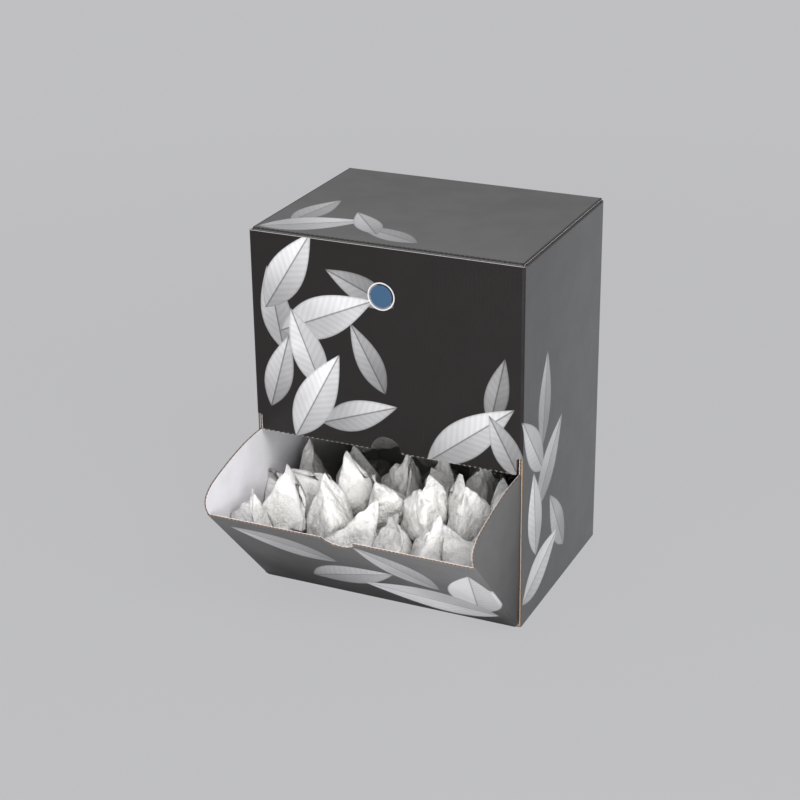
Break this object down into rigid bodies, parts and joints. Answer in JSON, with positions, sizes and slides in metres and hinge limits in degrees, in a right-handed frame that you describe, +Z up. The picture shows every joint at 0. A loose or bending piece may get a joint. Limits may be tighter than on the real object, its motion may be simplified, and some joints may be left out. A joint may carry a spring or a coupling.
{
  "type": "dispenser box",
  "caption": "Tall printed carton for pyramid tea bags with a tuck-in lid and a torn-open tray that tips forward at the foot of the front.",
  "frame": {"origin": "centre of the carton's underside", "axes": "+Z up, front with the tray faces -Y, +X to the right seen from the front"},
  "size_m": [0.225, 0.2633, 0.298],
  "materials": {
    "printed_board": "satin black print over white-lined micro-flute board",
    "bag_fleece": "white non-woven fleece"
  },
  "bodies": {
    "carton": {"carton_body": "printed_board", "tea_bag_27": "bag_fleece", "tea_bag_28": "bag_fleece", "tea_bag_29": "bag_fleece", "tea_bag_30": "bag_fleece", "tea_bag_31": "bag_fleece", "tea_bag_32": "bag_fleece", "tea_bag_33": "bag_fleece", "tea_bag_34": "bag_fleece"},
    "lid": {"lid": "printed_board"},
    "tray": {"tray": "printed_board", "tea_bag_01": "bag_fleece", "tea_bag_02": "bag_fleece", "tea_bag_03": "bag_fleece", "tea_bag_04": "bag_fleece", "tea_bag_05": "bag_fleece", "tea_bag_06": "bag_fleece", "tea_bag_07": "bag_fleece", "tea_bag_08": "bag_fleece", "tea_bag_09": "bag_fleece", "tea_bag_10": "bag_fleece", "tea_bag_11": "bag_fleece", "tea_bag_12": "bag_fleece", "tea_bag_13": "bag_fleece", "tea_bag_14": "bag_fleece", "tea_bag_15": "bag_fleece", "tea_bag_16": "bag_fleece", "tea_bag_17": "bag_fleece", "tea_bag_18": "bag_fleece", "tea_bag_19": "bag_fleece", "tea_bag_20": "bag_fleece", "tea_bag_21": "bag_fleece", "tea_bag_22": "bag_fleece", "tea_bag_23": "bag_fleece", "tea_bag_24": "bag_fleece", "tea_bag_25": "bag_fleece", "tea_bag_26": "bag_fleece"}
  },
  "joints": [
    {"name": "tray_tip", "type": "hinge", "parent": "carton", "child": "tray", "pos_m": [0, -0.08575, 0.00075], "axis": [-1, 0, 0], "range_deg": [0, 43]},
    {"name": "lid_open", "type": "hinge", "parent": "carton", "child": "lid", "pos_m": [0, 0.08575, 0.29725], "axis": [-1, 0, 0], "range_deg": [0, 180]}
  ]
}
